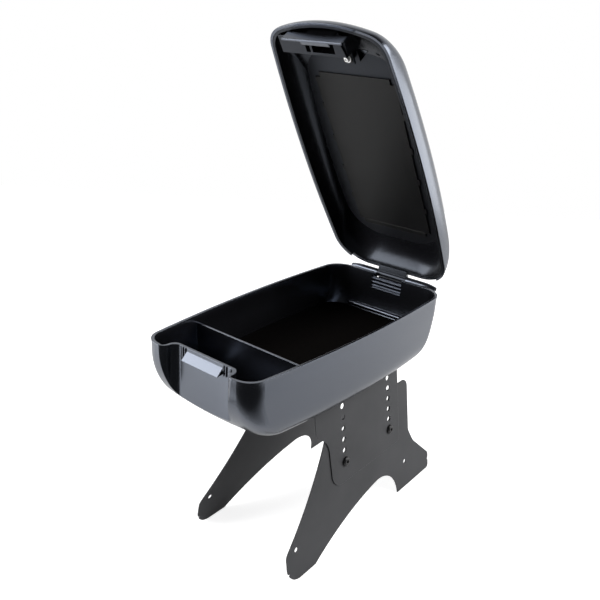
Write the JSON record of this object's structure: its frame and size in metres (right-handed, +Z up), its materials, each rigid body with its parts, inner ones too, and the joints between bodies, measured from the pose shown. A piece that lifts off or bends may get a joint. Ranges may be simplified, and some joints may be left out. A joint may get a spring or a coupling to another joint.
{
  "type": "car centre armrest",
  "caption": "Car centre armrest: a boat-shaped plastic storage box with a divider and a hinged, latched lid on a splayed, height-adjustable sheet-steel foot bracket.",
  "frame": {"origin": "on the floor under the middle of the armrest's overall box, between the two legs", "axes": "+X to the right of a person sitting beside it, +Y to the rear (the hinge end), +Z up; the lid stands 57 degrees open at rest"},
  "size_m": [0.16, 0.359, 0.5443],
  "materials": {
    "black_plastic": "satin moulded",
    "liner_panel": "fine grained",
    "felt": "short felt on board",
    "painted_steel": "satin dark grey powder coat",
    "black_steel": "black oxide",
    "zinc_steel": "zinc plated"
  },
  "bodies": {
    "base": {"box_tub": "black_plastic", "floor_mat": "felt", "hinge_pin": "zinc_steel", "bracket_yoke": "painted_steel", "leg_plate_left": "painted_steel", "leg_plate_right": "painted_steel", "leg_bolts": "black_steel", "leg_washers": "black_steel", "leg_nuts": "black_steel", "box_bolts": "zinc_steel", "box_washers": "zinc_steel", "box_nuts": "zinc_steel"},
    "lid": {"lid_cover": "black_plastic", "lid_tray": "black_plastic", "lid_liner": "liner_panel", "latch_housing": "black_plastic", "latch_pin": "zinc_steel", "latch_spring": "zinc_steel", "latch_washer": "zinc_steel", "latch_screw": "zinc_steel"},
    "latch": {"latch_lever": "black_plastic"}
  },
  "joints": [
    {"name": "lid_hinge", "type": "hinge", "parent": "base", "child": "lid", "pos_m": [0, 0.151, 0.2578], "axis": [1, 0, 0], "range_deg": [-38, 57]},
    {"name": "latch_pivot", "type": "hinge", "parent": "lid", "child": "latch", "pos_m": [0, -0.01295, 0.52991], "axis": [1, 0, 0], "range_deg": [-7, 0], "stiffness_Nm_per_rad": 0.6, "springref_deg": 8.59, "deforming": ["latch_spring"]}
  ]
}
